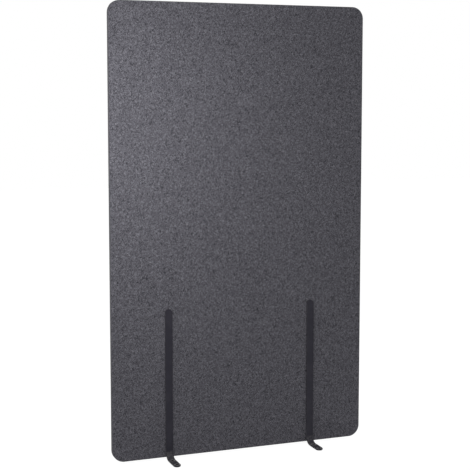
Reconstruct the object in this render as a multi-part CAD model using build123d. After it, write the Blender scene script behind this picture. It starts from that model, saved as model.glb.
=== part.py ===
from build123d import *
import os

# A free-standing acoustic divider screen: one upright felt panel with rounded corners, held
# low down at two places between a pair of bent steel legs. Each leg is a flat bar that runs
# up the panel's face and bends outward into a short toe on the floor.
#
# Lengths are in millimetres. +X is to the right seen from the front, +Y to the rear and +Z
# up. The origin lies on the floor under the middle of the panel.

# Panel
panel_width = 914.0
panel_height = 1524.0
panel_thickness = 20.0
panel_corner_radius = 40.0
panel_edge_chamfer = 1.2
panel_floor_gap = 8.0

# Stiffening core, let into a shallow pocket in the inner face of the rear felt board
core_thickness = 2.0
core_inset = 20.0
core_side_play = 0.5

# Legs
bar_width = 25.0
bar_thickness = 4.0
bar_edge_chamfer = 0.5
bend_inner_radius = 25.0
post_top_height = 515.0
toe_reach = 107.0
stand_inset = 197.0

# Soft strips: a liner between each post and the felt, a sole under each toe
liner_thickness = 1.0
sole_thickness = 2.0
strip_margin = 1.5
liner_bush_clearance = 2.0

# Countersunk holes in the bars, and the floor fixing holes in the toes
screw_hole_diameter = 6.6
countersink_clearance = 0.1
toe_hole_bend_margin = 7.5

# Clamps: a hexagonal boss on the front leg, a bush round it and a screw from the rear
clamp_count = 2
clamp_top_margin = 60.0
clamp_bottom_margin = 60.0
boss_across_flats = 10.0
boss_end_gap = 1.0
boss_thread_depth = 17.0
bush_diameter = 14.0
bush_slip = 0.2
bush_hole_clearance = 0.3
screw_diameter = 6.0
screw_head_diameter = 12.0
screw_length = 20.0
screw_thread_clearance = 0.05
socket_across_flats = 4.0
socket_depth = 2.3

# How far a cutting tool runs past the face that it cuts
overrun = 1.0

# Places that follow from the sizes above
half_panel = panel_thickness / 2
panel_middle_height = panel_floor_gap + panel_height / 2
core_width = panel_width - 2 * core_inset
core_height = panel_height - 2 * core_inset
stand_offset = panel_width / 2 - stand_inset
post_inner_face = half_panel + liner_thickness
post_outer_face = post_inner_face + bar_thickness
toe_top_height = sole_thickness + bar_thickness
bend_top_height = toe_top_height + bend_inner_radius
bend_end_reach = post_outer_face + bend_inner_radius
bar_end_radius = bar_width / 2
post_round_height = post_top_height - bar_end_radius
toe_round_reach = toe_reach - bar_end_radius
strip_width = bar_width - 2 * strip_margin

hexagon_corner_share = 2 / 3**0.5
boss_across_corners = boss_across_flats * hexagon_corner_share

clamp_top_height = post_top_height - clamp_top_margin
clamp_bottom_height = panel_floor_gap + clamp_bottom_margin
clamp_pitch = (clamp_top_height - clamp_bottom_height) / (clamp_count - 1)
clamp_heights = [clamp_bottom_height + i * clamp_pitch for i in range(clamp_count)]
toe_hole_reaches = [bend_end_reach + toe_hole_bend_margin, toe_round_reach]


def turned(outline):
    """A solid of revolution about Z from its outline, a list of (radius, height) points."""
    profile = make_face(Polyline(*outline, close=True))
    return revolve(Plane.XZ * profile, axis=Axis.Z)


def facing(point, direction):
    """The place of a turned piece whose foot is at a point and whose axis runs in a direction."""
    return Plane(origin=point, z_dir=direction).location


def countersunk_hole():
    """The tool for a hole with a 90 degree countersink, from the bar's outer face inward."""
    hole = screw_hole_diameter / 2
    rim = screw_head_diameter / 2 + countersink_clearance
    return turned(
        [
            (0, -overrun),
            (rim, -overrun),
            (rim, 0),
            (hole, rim - hole),
            (hole, bar_thickness + overrun),
            (0, bar_thickness + overrun),
        ]
    )


# Panel


def bush_holes(depth):
    """Tools for the holes that the bushes pass through, along Y and centred on the panel."""
    radius = bush_diameter / 2 + bush_hole_clearance
    hole = Rot(X=90) * Cylinder(radius, depth)
    return [
        Pos(side * stand_offset, 0, height) * hole
        for side in (-1, 1)
        for height in clamp_heights
    ]


def upright_plate(outline, thickness):
    """A plate of a given outline, which fills the panel from its middle plane to the rear."""
    plate = Plane.XZ * extrude(outline, amount=-thickness)
    return Pos(0, 0, panel_middle_height) * plate


def rear_felt_board_blank():
    """A felt board before its pocket is cut: rounded corners, eased outer edges, bush holes."""
    outline = RectangleRounded(panel_width, panel_height, panel_corner_radius)
    board = upright_plate(outline, half_panel)
    outer_face = board.faces().sort_by(Axis.Y)[-1]
    board = chamfer(outer_face.edges(), length=panel_edge_chamfer)
    return board - bush_holes(panel_thickness + overrun)


def front_felt_board():
    """The front board is a plain one, turned to face the front."""
    return Rot(Z=180) * rear_felt_board_blank()


def rear_felt_board():
    """The rear board has the pocket for the core."""
    play = 2 * core_side_play
    pocket = upright_plate(Rectangle(core_width + play, core_height + play), core_thickness)
    return rear_felt_board_blank() - pocket


def stiffening_core():
    """A thin stiff board, smaller than the felt all round so that it doesn't show."""
    core = upright_plate(Rectangle(core_width, core_height), core_thickness)
    return core - bush_holes(panel_thickness + overrun)


# Legs, modelled as the front leg of a stand in the middle of the panel


def bent_bar():
    """Flat bar with eased outer edges and full-radius ends: the post, one bend and the toe."""
    post_reach = post_inner_face + bar_thickness / 2
    toe_height = sole_thickness + bar_thickness / 2
    top = Vector(0, -post_reach, post_round_height)
    corner = Vector(0, -post_reach, toe_height)
    tip = Vector(0, -toe_round_reach, toe_height)
    path = FilletPolyline(top, corner, tip, radius=bend_inner_radius + bar_thickness / 2)

    section = Rectangle(bar_width, bar_thickness)
    outer_corners = section.vertices().group_by(Axis.Y)[-1]
    section = chamfer(outer_corners, length=bar_edge_chamfer)
    half_section = section & Pos(bar_width / 4, 0) * Rectangle(bar_width / 2, bar_thickness)
    at_top = Plane(origin=top, x_dir=(1, 0, 0), z_dir=(0, 0, -1))
    at_tip = Plane(origin=tip, x_dir=(1, 0, 0), z_dir=(0, -1, 0))
    bar = sweep(at_top * section, path=path)
    top_end = revolve(at_top * half_section, axis=Axis(top, (0, -1, 0)), revolution_arc=180)
    toe_end = revolve(at_tip * half_section, axis=Axis(tip, (0, 0, -1)), revolution_arc=180)
    bar = bar + top_end + toe_end

    tool = countersunk_hole()
    for reach in toe_hole_reaches:
        bar -= facing((0, -reach, toe_top_height), (0, 0, -1)) * tool
    return bar


def front_leg():
    """The front leg's face is clean: its clamps are welded to its back."""
    return bent_bar()


def rear_leg():
    """The same bar turned round, with countersunk holes for the clamp screws."""
    bar = Rot(Z=180) * bent_bar()
    tool = countersunk_hole()
    for height in clamp_heights:
        bar -= facing((0, post_outer_face, height), (0, -1, 0)) * tool
    return bar


# Clamps


def hexagonal_bar(across_flats, length):
    """A hexagonal bar that rises from the XY plane."""
    return extrude(RegularPolygon(across_flats / 2, 6, major_radius=False), amount=length)


def leg_bosses():
    """Threaded bosses welded to the back of the front leg; each reaches through the panel."""
    length = 2 * post_inner_face - boss_end_gap
    bore = screw_diameter / 2 + screw_thread_clearance
    thread = Cylinder(bore, 2 * boss_thread_depth)
    boss = hexagonal_bar(boss_across_flats, length) - Pos(0, 0, length) * thread
    seats = [facing((0, -post_inner_face, height), (0, 1, 0)) for height in clamp_heights]
    return [seat * boss for seat in seats]


def panel_bushes():
    """Spacer bushes round the bosses; the legs close on them, so the felt isn't crushed."""
    radius = bush_diameter / 2
    bore = boss_across_corners / 2 + bush_slip
    length = 2 * post_inner_face
    bush = turned([(bore, 0), (radius, 0), (radius, length), (bore, length)])
    seats = [facing((0, -post_inner_face, height), (0, 1, 0)) for height in clamp_heights]
    return [seat * bush for seat in seats]


def clamp_screws():
    """Countersunk screws with a hexagon socket, flush in the rear leg."""
    radius = screw_diameter / 2
    head = screw_head_diameter / 2
    screw = turned(
        [
            (0, 0),
            (head, 0),
            (radius, head - radius),
            (radius, screw_length),
            (0, screw_length),
        ]
    )
    screw -= hexagonal_bar(socket_across_flats, socket_depth)
    seats = [facing((0, post_outer_face, height), (0, -1, 0)) for height in clamp_heights]
    return [seat * screw for seat in seats]


# Soft strips


def front_liner():
    """Strips between the front post and the felt, which stop clear of the bushes."""
    middle_height = (bend_top_height + post_round_height) / 2
    strip = Box(strip_width, liner_thickness, post_round_height - bend_top_height)
    strip = Pos(0, -half_panel - liner_thickness / 2, middle_height) * strip
    gap = Box(bar_width, panel_thickness + overrun, bush_diameter + 2 * liner_bush_clearance)
    return strip - [Pos(0, -half_panel, height) * gap for height in clamp_heights]


def front_toe_sole():
    """The rubber sole under the front toe's flat part, with clearance for floor screws."""
    length = toe_round_reach - bend_end_reach
    outline = Pos(0, bend_end_reach + length / 2) * Rectangle(strip_width, length)
    outline += Pos(0, toe_round_reach) * Circle(strip_width / 2)
    sole = extrude(outline, amount=sole_thickness)
    for reach in toe_hole_reaches:
        sole -= Pos(0, reach, 0) * Cylinder(screw_hole_diameter / 2, 2 * toe_top_height)
    return Rot(Z=180) * sole


# The whole screen


def one_stand():
    """Every piece of a stand in the middle of the panel, by name."""
    half_turn = Rot(Z=180)
    return {
        "front_leg": front_leg(),
        "rear_leg": rear_leg(),
        "leg_bosses": leg_bosses(),
        "panel_bushes": panel_bushes(),
        "clamp_screws": clamp_screws(),
        "front_liner": front_liner(),
        "rear_liner": half_turn * front_liner(),
        "front_toe_sole": front_toe_sole(),
        "rear_toe_sole": half_turn * front_toe_sole(),
    }


def whole_screen():
    """Every node of the screen, by name."""
    nodes = {
        "front_felt_board": front_felt_board(),
        "stiffening_core": stiffening_core(),
        "rear_felt_board": rear_felt_board(),
    }
    stand = one_stand()
    for side_name, side in (("left", -1), ("right", 1)):
        place = Pos(side * stand_offset, 0, 0)
        for name, piece in stand.items():
            if isinstance(piece, list):
                placed = Compound(children=[place * each for each in piece])
            else:
                placed = place * piece
            nodes[side_name + "_" + name] = placed
    return nodes


os.makedirs("parts", exist_ok=True)
for node, shape in whole_screen().items():
    export_step(shape, os.path.join("parts", node + ".step"))
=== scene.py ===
from math import pi, radians

import bmesh
import bpy
from mathutils import Matrix, Vector


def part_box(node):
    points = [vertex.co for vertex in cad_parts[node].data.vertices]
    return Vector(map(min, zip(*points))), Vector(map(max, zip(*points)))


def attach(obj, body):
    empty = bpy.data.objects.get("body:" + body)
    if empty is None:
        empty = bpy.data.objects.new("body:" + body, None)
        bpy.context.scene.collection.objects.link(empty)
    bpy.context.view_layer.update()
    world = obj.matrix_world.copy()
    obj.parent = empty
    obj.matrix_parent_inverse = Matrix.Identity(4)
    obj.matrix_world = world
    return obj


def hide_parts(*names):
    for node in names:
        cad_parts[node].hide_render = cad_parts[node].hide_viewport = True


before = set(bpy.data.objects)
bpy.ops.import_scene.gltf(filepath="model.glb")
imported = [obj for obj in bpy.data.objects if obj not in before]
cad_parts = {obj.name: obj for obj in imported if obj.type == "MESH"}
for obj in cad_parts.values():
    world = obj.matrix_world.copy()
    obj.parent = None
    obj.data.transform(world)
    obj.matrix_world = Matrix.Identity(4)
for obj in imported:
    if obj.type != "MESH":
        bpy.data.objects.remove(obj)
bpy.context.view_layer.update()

# Felt boards
# The panel is two boards of needled polyester felt, cut to one outline and glued face to
# face. The felt is a dark grey heather: black, grey and pale fibres carded together.
BOARD_CORNER = 0.040
BOARD_CORNER_STEPS = 14
FACE_ROUND = 0.0022
FACE_ROUND_STEPS = 4
SEAM_ROUND = 0.0006
SEAM_ROUND_STEPS = 2
BUSH_HOLE_RADIUS = 0.0073
BUSH_HOLE_STEPS = 32
POCKET_PLAY = 0.0005
RIM_BAND = 0.015
TOUCHING = 1e-6
WALL_LEAN = 0.5
SHARP_DEGREES = 35

FELT_BLACK = (0.033, 0.032, 0.039, 1.0)
FELT_GREY = (0.114, 0.111, 0.130, 1.0)
FELT_PALE = (0.254, 0.250, 0.280, 1.0)
FELT_CUT = (0.072, 0.070, 0.081, 1.0)
TUFT_LENGTH = 0.011
TUFT_WIDTH = 0.0016
TUFT_ANGLES = (165, 74, 36, 112)
FIBRE_LENGTH = 0.006
FIBRE_WIDTH = 0.0004
FIBRE_ANGLES = (14, 129, 83, 158)
CURL_SIZE = 0.018
CURL_REACH = 0.0065
CLUMP = 0.0042
CLOUD = 0.045
NAP = 0.0009
FELT_RELIEF = 0.0006
LAYER_LINE = 0.0007
LAYER_LINE_STRETCH = 0.08
CUT_EDGE_DEPTHS = (0.0095, 0.0080)


class Shade:
    """One output of a material's nodes. Arithmetic on it adds Math nodes."""

    def __init__(self, tree, socket):
        self.tree = tree
        self.socket = socket

    def add(self, kind, settings, values, output=0):
        """A node of a kind, with its settings made first and then its sockets' values or links."""
        node = self.tree.nodes.new("ShaderNode" + kind)
        for name, value in settings.items():
            setattr(node, name, value)
        for name, value in values.items():
            if isinstance(value, Shade):
                self.tree.links.new(value.socket, node.inputs[name])
            else:
                node.inputs[name].default_value = value
        return Shade(self.tree, node.outputs[output])

    def math(self, operation, first, second=0.0):
        return self.add("Math", {"operation": operation}, {0: first, 1: second})

    def __add__(self, other):
        return self.math("ADD", self, other)

    def __sub__(self, other):
        return self.math("SUBTRACT", self, other)

    def __rsub__(self, other):
        return self.math("SUBTRACT", other, self)

    def __mul__(self, other):
        return self.math("MULTIPLY", self, other)

    def __abs__(self):
        return self.math("ABSOLUTE", self)

    __radd__ = __add__
    __rmul__ = __mul__

    def ramp(self, low, high):
        """0 below low, 1 above high and a smooth step between them."""
        values = {"Value": self, "From Min": low, "From Max": high}
        return self.add("MapRange", {"interpolation_type": "SMOOTHSTEP"}, values)

    def colour(self, first, second):
        """The colour that this mask blends from first to second."""
        values = {"Factor": self, 6: first, 7: second}
        return self.add("Mix", {"data_type": "RGBA"}, values, output=2)


def new_material(name):
    """A material, its object coordinates and its Principled BSDF node."""
    material = bpy.data.materials.new(name)
    material.use_nodes = True
    tree = material.node_tree
    surface = tree.nodes["Principled BSDF"]
    coordinates = tree.nodes.new("ShaderNodeTexCoord")
    return material, Shade(tree, coordinates.outputs["Object"]), surface


def feed(surface, **sockets):
    """Links or sets sockets of a surface; an underscore stands for a space."""
    for name, value in sockets.items():
        socket = surface.inputs[name.replace("_", " ")]
        if isinstance(value, Shade):
            value.tree.links.new(value.socket, socket)
        else:
            socket.default_value = value


def noise(place, size, detail=2.0, roughness=0.5):
    """Noise whose features are about a given size, from 0 to 1."""
    values = {"Vector": place, "Scale": 1 / size, "Detail": detail, "Roughness": roughness}
    return place.add("TexNoise", {}, values)


def relief(height, depth, strength):
    """A bumpy normal from a height, for a surface whose bumps are so deep."""
    values = {"Strength": strength, "Distance": depth, "Height": height}
    return height.add("Bump", {}, values)


def curled(place):
    """The place pushed a little to and fro, so that long fibres curve."""
    values = {"Vector": place, "Scale": 1 / CURL_SIZE, "Detail": 1.0}
    drift = place.add("TexNoise", {}, values, output=1)
    drift = drift.add("VectorMath", {"operation": "SUBTRACT"}, {0: drift, 1: (0.5, 0.5, 0.5)})
    values = {0: drift, 1: (CURL_REACH, CURL_REACH, CURL_REACH), 2: place}
    return drift.add("VectorMath", {"operation": "MULTIPLY_ADD"}, values)


def streaks(place, angle, length, width):
    """Long thin streaks that lie at an angle in the board's face."""
    turned = place.add("Mapping", {}, {"Vector": place, "Rotation": (0, radians(angle), 0)})
    drawn = turned.add("Mapping", {}, {"Vector": turned, "Scale": (width / length, 1, 1)})
    return noise(drawn, width, 1.0)


def felt_material():
    material, place, surface = new_material("heather_felt")
    clumps = noise(place, CLUMP, 1.5, 0.6)
    cloud = noise(place, CLOUD, 2.0)
    web = curled(place)
    tufts = [streaks(web, angle, TUFT_LENGTH, TUFT_WIDTH) for angle in TUFT_ANGLES]
    fibres = [streaks(web, angle, FIBRE_LENGTH, FIBRE_WIDTH) for angle in FIBRE_ANGLES]
    # Each ramp sets how much of the felt one kind of fibre or clump covers.
    pale = tufts[0].ramp(0.56, 0.68) * 0.7 + tufts[1].ramp(0.58, 0.70) * 0.6
    black = tufts[2].ramp(0.55, 0.67) * 0.9 + tufts[3].ramp(0.55, 0.67) * 0.9
    pale = pale + clumps.ramp(0.50, 0.78) * 0.5 + (cloud - 0.5) * 0.25
    pale = pale + (fibres[0].ramp(0.52, 0.66) + fibres[1].ramp(0.54, 0.68)) * 0.4 - 0.13
    black = black + clumps.ramp(0.50, 0.24) * 0.6
    black = black + (fibres[2].ramp(0.52, 0.66) + fibres[3].ramp(0.54, 0.68)) * 0.4 - 0.13
    colour = pale.colour(FELT_GREY, FELT_PALE)
    colour = black.colour(colour, FELT_BLACK)

    depth = place.add("SeparateXYZ", {}, {"Vector": place}, output=1)
    cut_edge = abs(depth).ramp(*CUT_EDGE_DEPTHS)
    stretch = (LAYER_LINE_STRETCH, 1, LAYER_LINE_STRETCH)
    layers = noise(place.add("Mapping", {}, {"Vector": place, "Scale": stretch}), LAYER_LINE)
    colour = (cut_edge * layers.ramp(0.35, 0.75)).colour(colour, FELT_CUT)

    height = noise(place, NAP, 3.0, 0.7) * 0.4 + clumps * 0.3
    height = height + (fibres[0] + fibres[2] + tufts[0] + tufts[2]) * 0.3
    feed(surface, Base_Color=colour, Normal=relief(height, FELT_RELIEF, 0.5), Roughness=0.95)
    feed(surface, Specular_IOR_Level=0.25, Sheen_Weight=0.12, Sheen_Roughness=0.5)
    return material


def bush_places():
    """The middles of the bushes in the panel, from the bushes themselves."""
    places = []
    for side in ("left", "right"):
        low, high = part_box(side + "_panel_bushes")
        radius = (high.x - low.x) / 2
        places.append((low.x + radius, low.z + radius))
        places.append((low.x + radius, high.z - radius))
    return places


def corner_points(mesh, low, high, y):
    """The four corners of an upright rectangle at a depth, in order."""
    places = ((low.x, low.z), (high.x, low.z), (high.x, high.z), (low.x, high.z))
    return [mesh.verts.new((x, y, z)) for x, z in places]


def fill(mesh, edges):
    """Flat faces between closed outlines."""
    made = bmesh.ops.triangle_fill(mesh, edges=list(edges), use_beauty=True)
    return [item for item in made["geom"] if isinstance(item, bmesh.types.BMFace)]


def pull_out(mesh, faces, depth, keep):
    """Extrudes faces along Y by a depth, and keeps or opens the place that they leave."""
    made = bmesh.ops.extrude_face_region(mesh, geom=faces, use_keep_orig=keep)
    moved = [item for item in made["geom"] if isinstance(item, bmesh.types.BMVert)]
    bmesh.ops.translate(mesh, verts=moved, vec=(0, depth, 0))


def round_off(mesh, corners, width, steps, affect):
    """Rounds vertices or edges with arcs of so many steps."""
    bmesh.ops.bevel(
        mesh,
        geom=corners,
        offset=width,
        segments=steps,
        profile=0.5,
        affect=affect,
        material=-1,
    )


def rounded_board(name, face_y, seam_y, core_box=None):
    """A felt board: rounded outline, bush holes, soft rim and, if it holds the core, a pocket."""
    low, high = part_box(name)
    floor_y = core_box[1].y if core_box else seam_y
    mesh = bmesh.new()
    outline = mesh.faces.new(corner_points(mesh, low, high, floor_y))
    round_off(mesh, outline.verts[:], BOARD_CORNER, BOARD_CORNER_STEPS, "VERTICES")
    bmesh.ops.delete(mesh, geom=mesh.faces[:], context="FACES_ONLY")
    outline = set(mesh.edges)
    for x, z in bush_places():
        turn = Matrix.Translation((x, floor_y, z)) @ Matrix.Rotation(pi / 2, 4, "X")
        bmesh.ops.create_circle(
            mesh, segments=BUSH_HOLE_STEPS, radius=BUSH_HOLE_RADIUS, matrix=turn
        )
    holes = set(mesh.edges) - outline
    if core_box:
        play = Vector((POCKET_PLAY, 0, POCKET_PLAY))
        points = corner_points(mesh, core_box[0] - play, core_box[1] + play, floor_y)
        walls = {mesh.edges.new(pair) for pair in zip(points, points[1:] + points[:1])}
        ring = fill(mesh, outline | walls)
        fill(mesh, walls | holes)
        pull_out(mesh, mesh.faces[:], face_y - floor_y, True)
        pull_out(mesh, ring, seam_y - floor_y, False)
    else:
        fill(mesh, outline | holes)
        pull_out(mesh, mesh.faces[:], face_y - floor_y, True)
    bmesh.ops.recalc_face_normals(mesh, faces=mesh.faces[:])
    face_rim = (face_y, FACE_ROUND, FACE_ROUND_STEPS)
    seam_rim = (seam_y, SEAM_ROUND, SEAM_ROUND_STEPS)
    for depth, width, steps in (face_rim, seam_rim):
        rim = [edge for edge in mesh.edges if on_rim(edge, depth, low, high)]
        round_off(mesh, rim, width, steps, "EDGES")
    piece = finished_piece(name + "_felt", mesh, felt)
    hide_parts(name)


def on_rim(edge, depth, low, high):
    """True for an edge of the outer outline at a depth, where a flat face meets the wall."""
    for vertex in edge.verts:
        x, y, z = vertex.co
        inset = min(x - low.x, high.x - x, z - low.z, high.z - z)
        if abs(y - depth) > TOUCHING or inset > RIM_BAND:
            return False
    return sum(abs(face.normal.y) < WALL_LEAN for face in edge.link_faces) == 1


def finished_piece(name, mesh, material):
    """An object from a bmesh, smooth by angle, that rides on the screen."""
    data = bpy.data.meshes.new(name)
    mesh.to_mesh(data)
    mesh.free()
    data.materials.append(material)
    data.shade_smooth()
    data.set_sharp_from_angle(angle=radians(SHARP_DEGREES))
    piece = bpy.data.objects.new(name, data)
    bpy.context.scene.collection.objects.link(piece)
    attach(piece, "root")
    return piece


felt = felt_material()
front_low, front_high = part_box("front_felt_board")
rear_low, rear_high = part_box("rear_felt_board")
rounded_board("front_felt_board", front_low.y, front_high.y)
rounded_board("rear_felt_board", rear_high.y, rear_low.y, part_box("stiffening_core"))

# Stiffening core
# A thin rigid polyester sheet between the boards, pale and plain, with a faint pressed
# grain. It sits in the pocket of the rear board and doesn't show.
CORE_PALE = (0.36, 0.36, 0.345, 1.0)
CORE_DARK = (0.29, 0.29, 0.28, 1.0)
CORE_GRAIN = 0.004
CORE_RELIEF = 0.0002


def dress(material, slot, *nodes):
    """Gives CAD pieces their finish. The slot, the record's name for it, is not used."""
    for name in nodes:
        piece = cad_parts[name]
        piece.data.materials.clear()
        piece.data.materials.append(material)


def core_material():
    material, place, surface = new_material("core_sheet")
    grain = noise(place, CORE_GRAIN, 3.0)
    feed(surface, Base_Color=grain.ramp(0.35, 0.65).colour(CORE_DARK, CORE_PALE))
    feed(surface, Roughness=grain * 0.2 + 0.5, Normal=relief(grain, CORE_RELIEF, 0.3))
    return material


dress(core_material(), "core_sheet", "stiffening_core")

# Legs
# Four bent flat bars of mild steel, powder coated black with a fine satin texture. The coat is
# abraded round the screws' countersinks. The paler coat along the edges of the outer faces, round
# the toe countersinks and over the bends and toes is partly abraded coat and scuff marks from
# shoes and partly painted highlight. The holes in the toes are painted in shade.
COAT_BLACK = (0.0205, 0.0192, 0.0285, 1.0)
COAT_THIN = (0.0320, 0.0300, 0.0410, 1.0)
# The three paler coat colours next are partly abraded coat and partly painted highlight; the
# darkest is painted shade.
COAT_SCUFF_AND_HIGHLIGHT = (0.080, 0.078, 0.084, 1.0)
COAT_WORN_AND_HIGHLIGHT = (0.175, 0.173, 0.178, 1.0)
COAT_RUBBED_AND_HIGHLIGHT = (0.340, 0.336, 0.340, 1.0)
SINK_PAINTED_SHADE = (0.004, 0.004, 0.005, 1.0)
BAR_THICKNESS = 0.004
BEND_RADIUS = 0.025
HOLE_BEND_MARGIN = 0.0075
SINK_RADIUS = 0.0061
SINK_LIP = 0.0003
SINK_BLUR = 0.0004
COAT_PEEL = 0.0011
COAT_PATCH = 0.03
COAT_MOTTLE = 0.0055
COAT_TOE_MOTTLE = 0.008
COAT_RELIEF = 0.0003
EDGE_BAND = (0.0007, 0.0001)
EDGE_DEPTHS = (0.0008, 0.0003)
OUTER_FACE_DEPTHS = (0.0012, 0.0005)
REAR_FACE_DEPTHS = (0.0030, 0.0005)
SCUFF_AND_HIGHLIGHT_HEIGHTS = (0.033, 0.022)
TOE_REACHES = (0.036, 0.044)
SINK_RIM_RADII = (0.0115, 0.0070)
SCREW_RIM_RADII = (0.0085, 0.0066)


def hypotenuse(*sides):
    """The length of a diagonal from its sides."""
    total = sum(side * side for side in sides)
    return total.math("SQRT", total)


def not_below_zero(value):
    """The value itself, but 0 where it is less."""
    return value.math("MAXIMUM", value, 0.0)


def leg_masks(place):
    """Masks for abraded coat, painted highlights and the toe holes' painted shade, read in each
    bar's own terms: across it and under its outer face.
    """
    low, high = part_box("right_front_leg")
    screws_low, screws_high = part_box("right_clamp_screws")
    bar_half = (high.x - low.x) / 2
    screw_half = (screws_high.x - screws_low.x) / 2
    toe_round_reach = -low.y - bar_half
    outer_face_reach = BAR_THICKNESS - high.y
    bend_reach = outer_face_reach + BEND_RADIUS
    bend_height = low.z + BAR_THICKNESS + BEND_RADIUS

    x, y, height = [place.add("SeparateXYZ", {}, {"Vector": place}, output=i) for i in range(3)]
    reach = abs(y)
    aside = abs(x) - (low.x + high.x) / 2
    past_post = not_below_zero(height - (high.z - bar_half))
    past_toe = not_below_zero(reach - toe_round_reach)
    across = hypotenuse(aside, past_post, past_toe)
    behind_bend = not_below_zero(bend_reach - reach)
    below_bend = not_below_zero(bend_height - height)
    under = hypotenuse(behind_bend, below_bend) - BEND_RADIUS
    holes = (bend_reach + HOLE_BEND_MARGIN, toe_round_reach)
    inner, outer = [hypotenuse(aside, reach - hole) for hole in holes]
    from_hole = inner.math("MINIMUM", inner, outer)
    screws = (screws_low.z + screw_half, screws_high.z - screw_half)
    lower, upper = [hypotenuse(aside, height - screw) for screw in screws]
    from_screw = lower.math("MINIMUM", lower, upper)
    past_sink = from_hole.ramp(SINK_RADIUS - SINK_LIP, SINK_RADIUS)
    rear_face = (outer_face_reach - y).ramp(*REAR_FACE_DEPTHS)
    # Besides abraded coat, these masks place painted highlights on edges, bends, toes and toe
    # countersink rims, and painted shade in the toe holes.
    return {
        "edge": (bar_half - across).ramp(*EDGE_BAND) * under.ramp(*EDGE_DEPTHS),
        "outer_face": under.ramp(*OUTER_FACE_DEPTHS),
        "low_down": height.ramp(*SCUFF_AND_HIGHLIGHT_HEIGHTS),
        "toe": reach.ramp(*TOE_REACHES),
        "rim": past_sink * from_hole.ramp(*SINK_RIM_RADII),
        "screw_rim": rear_face * from_screw.ramp(*SCREW_RIM_RADII),
        "painted_hole_shade": from_hole.ramp(SINK_RADIUS, SINK_RADIUS - SINK_BLUR),
    }


def powder_coat_material():
    material, place, surface = new_material("black_powder_coat")
    masks = leg_masks(place)
    toe, low_down, outer_face = masks["toe"], masks["low_down"], masks["outer_face"]
    peel = noise(place, COAT_PEEL, 2.0, 0.6)
    patches = noise(place, COAT_PATCH, 3.0)
    mottle = noise(place, COAT_MOTTLE, 3.0, 0.7)
    toe_mottle = noise(place, COAT_TOE_MOTTLE, 4.0, 0.65)

    thin = patches.ramp(0.4, 0.7) * 0.6 + peel.ramp(0.50, 0.75) * 0.4
    # Painted highlight and scuff marks: the paler coat low on the outer faces is partly scuffing
    # by shoes and partly light on the up-facing bends and toes.
    scuff_and_highlight = outer_face * low_down * mottle.ramp(0.36, 0.62) * (1 - toe * 0.6)
    # Painted highlight and abrasion: pale patches on the toes' outer faces are partly abraded coat
    # and partly light caught on the toe tops.
    toe_wear_and_highlight = outer_face * toe * toe_mottle.ramp(0.44, 0.66) * mottle.ramp(0.30, 0.60)
    # Painted highlight and abrasion: a faint pale line along the edges of the outer faces is
    # partly abraded coat and partly light caught on the edges.
    edge_wear_and_highlight = masks["edge"] * (mottle.ramp(0.35, 0.65) * 0.35)
    # Painted highlight and abrasion: a pale ring round each toe countersink is partly abraded coat
    # and partly light caught on its rim.
    rim_wear_and_highlight = masks["rim"] * mottle.ramp(0.34, 0.54)
    rubbed_screw_rim = masks["screw_rim"] * (mottle.ramp(0.35, 0.60) * 0.6)
    colour = thin.colour(COAT_BLACK, COAT_THIN)
    colour = scuff_and_highlight.colour(colour, COAT_SCUFF_AND_HIGHLIGHT)
    colour = toe_wear_and_highlight.colour(colour, COAT_WORN_AND_HIGHLIGHT)
    for rub_and_highlight in (edge_wear_and_highlight, rim_wear_and_highlight, rubbed_screw_rim):
        colour = rub_and_highlight.colour(colour, COAT_RUBBED_AND_HIGHLIGHT)
    feed(surface, Base_Color=colour, Normal=relief(peel, COAT_RELIEF, 0.6))
    feed(surface, Roughness=patches * 0.12 + peel * 0.1 + low_down * 0.1 + 0.38)
    feed(surface, Specular_IOR_Level=0.2)

    # Painted shade: inside the toe holes a near-black matte surface takes the place of the coat,
    # standing in for the shade there.
    painted_hole_shade = masks["painted_hole_shade"]
    black = painted_hole_shade.add("BsdfDiffuse", {}, {"Color": SINK_PAINTED_SHADE})
    coat = Shade(painted_hole_shade.tree, surface.outputs["BSDF"])
    blend = painted_hole_shade.add("MixShader", {}, {0: painted_hole_shade, 1: coat, 2: black})
    painted_hole_shade.tree.links.new(blend.socket, painted_hole_shade.tree.nodes["Material Output"].inputs["Surface"])
    return material


SIDES = ("left", "right")
ENDS = ("front", "rear")
legs = [side + "_" + end + "_leg" for side in SIDES for end in ENDS]
dress(powder_coat_material(), "black_steel", *legs)

# Bosses
# Hexagonal steel bosses, zinc plated, welded to the back of the front legs and tapped for
# the clamp screws. The drawn bar shows fine lines along its length.
ZINC_PALE = (0.52, 0.51, 0.48, 1.0)
ZINC_DARK = (0.33, 0.32, 0.29, 1.0)
ZINC_LINE = 0.0006
ZINC_LINE_STRETCH = 0.04
ZINC_RELIEF = 0.00005


def zinc_material():
    material, place, surface = new_material("zinc_plate")
    drawn = place.add("Mapping", {}, {"Vector": place, "Scale": (1, ZINC_LINE_STRETCH, 1)})
    lines = noise(drawn, ZINC_LINE, 2.0)
    feed(surface, Base_Color=lines.ramp(0.3, 0.7).colour(ZINC_DARK, ZINC_PALE))
    feed(surface, Metallic=1.0, Roughness=lines * 0.2 + 0.25)
    feed(surface, Normal=relief(lines, ZINC_RELIEF, 0.3))
    return material


dress(zinc_material(), "boss_steel", *[side + "_leg_bosses" for side in SIDES])

# Bushes
# Moulded black nylon tubes that line the panel's holes and take the clamps' pressure. Each
# slips over a boss before the rear leg goes on.
NYLON_BLACK = (0.030, 0.030, 0.031, 1.0)
NYLON_GREY = (0.052, 0.052, 0.053, 1.0)
NYLON_GRAIN = 0.0008
NYLON_RELIEF = 0.00005


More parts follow.
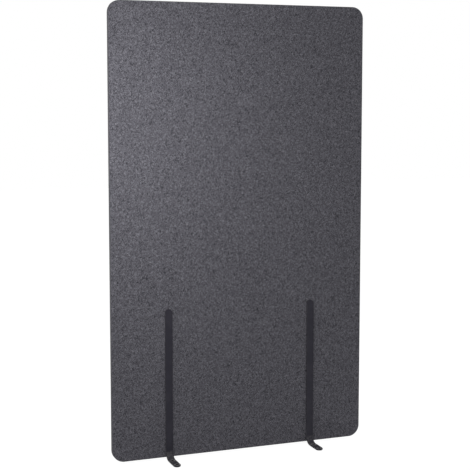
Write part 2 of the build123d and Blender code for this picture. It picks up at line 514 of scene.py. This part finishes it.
def nylon_material():
    material, place, surface = new_material("black_nylon")
    grain = noise(place, NYLON_GRAIN, 2.0)
    feed(surface, Base_Color=grain.ramp(0.3, 0.8).colour(NYLON_BLACK, NYLON_GREY))
    feed(surface, Roughness=grain * 0.15 + 0.4, Normal=relief(grain, NYLON_RELIEF, 0.2))
    return material


dress(nylon_material(), "bush_nylon", *[side + "_panel_bushes" for side in SIDES])

# Clamp screws
# M6 countersunk screws in black oxide, put in from the rear. The oxide is worn a little
# where the key has turned in the socket.
OXIDE_BLACK = (0.035, 0.035, 0.037, 1.0)
OXIDE_GREY = (0.130, 0.127, 0.124, 1.0)
OXIDE_SPOT = 0.0015
OXIDE_RELIEF = 0.00004


def oxide_material():
    material, place, surface = new_material("black_oxide")
    spots = noise(place, OXIDE_SPOT, 4.0, 0.6)
    feed(surface, Base_Color=spots.ramp(0.5, 0.75).colour(OXIDE_BLACK, OXIDE_GREY))
    feed(surface, Metallic=spots.ramp(0.4, 0.7) * 0.4 + 0.5, Roughness=spots * 0.25 + 0.3)
    feed(surface, Normal=relief(spots, OXIDE_RELIEF, 0.25))
    return material


dress(oxide_material(), "black_screw_steel", *[side + "_clamp_screws" for side in SIDES])

# Liners
# Thin strips of cellular rubber between the posts and the felt, stuck on between the
# bushes, so that the steel doesn't rub the felt.
CELL_BLACK = (0.014, 0.014, 0.014, 1.0)
CELL_GREY = (0.032, 0.032, 0.032, 1.0)
CELL = 0.0009
CELL_RELIEF = 0.0002


def liner_material():
    material, place, surface = new_material("cellular_rubber")
    cells = place.add("TexVoronoi", {}, {"Vector": place, "Scale": 1 / CELL})
    feed(surface, Base_Color=cells.ramp(0.1, 0.6).colour(CELL_BLACK, CELL_GREY))
    feed(surface, Roughness=0.85 - cells * 0.2, Normal=relief(cells, CELL_RELIEF, 0.5))
    return material


liners = [side + "_" + end + "_liner" for side in SIDES for end in ENDS]
dress(liner_material(), "liner_rubber", *liners)

# Soles
# Solid rubber pads with a fine grain, cut from sheet and glued under the flat parts of the
# toes. The holes for floor screws run on through them.
SOLE_BLACK = (0.012, 0.012, 0.012, 1.0)
SOLE_GREY = (0.028, 0.028, 0.028, 1.0)
SOLE_GRAIN = 0.0007
SOLE_SCUFF = 0.006
SOLE_RELIEF = 0.0001


def sole_material():
    material, place, surface = new_material("solid_rubber")
    grain = noise(place, SOLE_GRAIN, 2.0)
    mottle = noise(place, SOLE_SCUFF, 3.0, 0.7)
    feed(surface, Base_Color=mottle.ramp(0.45, 0.7).colour(SOLE_BLACK, SOLE_GREY))
    feed(surface, Roughness=grain * 0.2 + 0.65, Normal=relief(grain, SOLE_RELIEF, 0.4))
    return material


soles = [side + "_" + end + "_toe_sole" for side in SIDES for end in ENDS]
dress(sole_material(), "sole_rubber", *soles)

# Floor and air
# A white floor that runs out to white all round. The camera and mirrors see it white, with
# the screen's faint shadow; other rays see a plain pale floor. The air is white too, and
# lights the screen at a little under half of that strength.
FLOOR_HALF = 12.0
FLOOR_PALE = (0.72, 0.72, 0.73, 1.0)
FLOOR_SEEN = (0.22, 0.22, 0.22, 1.0)
FLOOR_GLOW = 0.93
AIR_WHITE = (1.0, 1.0, 1.0, 1.0)
AIR_STRENGTH = 0.46


def seen_directly(tree):
    """1 for rays from the camera and for those that mirrors and glass send on, 0 for others."""
    light_path = tree.nodes.new("ShaderNodeLightPath")
    camera_ray, glossy_ray, through_ray = [
        Shade(tree, light_path.outputs[name])
        for name in ("Is Camera Ray", "Is Glossy Ray", "Is Transmission Ray")
    ]
    either = camera_ray.math("MAXIMUM", camera_ray, glossy_ray)
    return camera_ray.math("MAXIMUM", either, through_ray)


def floor_surface():
    """A pale floor, and for direct rays a white one that keeps the screen's shadow."""
    material = bpy.data.materials.new("pale_floor")
    material.use_nodes = True
    tree = material.node_tree
    tree.nodes.remove(tree.nodes["Principled BSDF"])
    direct = seen_directly(tree)
    plain = direct.add("BsdfDiffuse", {}, {"Color": FLOOR_PALE})
    shadowed = direct.add("BsdfDiffuse", {}, {"Color": FLOOR_SEEN})
    glow = direct.add("Emission", {}, {"Strength": FLOOR_GLOW})
    white = direct.add("AddShader", {}, {0: shadowed, 1: glow})
    blend = direct.add("MixShader", {}, {0: direct, 1: plain, 2: white})
    tree.links.new(blend.socket, tree.nodes["Material Output"].inputs["Surface"])
    return material


mesh = bmesh.new()
bmesh.ops.create_grid(mesh, x_segments=1, y_segments=1, size=FLOOR_HALF)
floor_data = bpy.data.meshes.new("floor")
mesh.to_mesh(floor_data)
mesh.free()
floor_data.materials.append(floor_surface())
floor = bpy.data.objects.new("floor", floor_data)
bpy.context.scene.collection.objects.link(floor)

world = bpy.data.worlds.new("studio_air")
bpy.context.scene.world = world
world.use_nodes = True
background = world.node_tree.nodes["Background"]
strength = seen_directly(world.node_tree) * (1 - AIR_STRENGTH) + AIR_STRENGTH
feed(background, Color=AIR_WHITE, Strength=strength)

# Lamps
# One large softbox stands close to the panel's left side, a little in front of it, so the
# light falls off over the felt. A weaker one behind keeps the back readable.
KEY_PLACE = (-0.669, -0.742, 1.176)
KEY_AIM = (-0.384, 0.0, 1.121)
KEY_SIZE = 0.6
KEY_WATTS = 6.6
BACK_PLACE = (0.9, 1.3, 1.4)
BACK_AIM = (0.1, 0.0, 0.8)
BACK_SIZE = 1.0
BACK_WATTS = 9.0


def softbox(name, place, aim, size, watts):
    """A square lamp that the camera doesn't see, at a place and turned to its aim."""
    lamp = bpy.data.lights.new(name, "AREA")
    lamp.size = size
    lamp.energy = watts
    holder = bpy.data.objects.new(name, lamp)
    holder.location = place
    holder.rotation_euler = (Vector(aim) - Vector(place)).to_track_quat("-Z", "Y").to_euler()
    holder.visible_camera = False
    bpy.context.scene.collection.objects.link(holder)


softbox("key_softbox", KEY_PLACE, KEY_AIM, KEY_SIZE, KEY_WATTS)
softbox("back_softbox", BACK_PLACE, BACK_AIM, BACK_SIZE, BACK_WATTS)

# Camera
# It stands to the left of the screen at chest height and looks a little down, with a small
# lens shift for the upright edges.
CAMERA_PLACE = (-1.4431, -3.6969, 1.2107)
CAMERA_YAW = 21.089
CAMERA_PITCH = 5.607
CAMERA_FOCUS_PIXELS = 1170.2
CAMERA_SHIFT_PIXELS = -20.0
PICTURE_PIXELS = 470.0
SENSOR_MM = 36.0

camera_data = bpy.data.cameras.new("camera")
camera_data.sensor_width = SENSOR_MM
camera_data.lens = SENSOR_MM * CAMERA_FOCUS_PIXELS / PICTURE_PIXELS
camera_data.shift_y = CAMERA_SHIFT_PIXELS / PICTURE_PIXELS
camera = bpy.data.objects.new("camera", camera_data)
camera.location = CAMERA_PLACE
camera.rotation_euler = (radians(90 - CAMERA_PITCH), 0, radians(-CAMERA_YAW))
bpy.context.scene.collection.objects.link(camera)
bpy.context.scene.camera = camera
bpy.context.scene.view_settings.view_transform = "Standard"
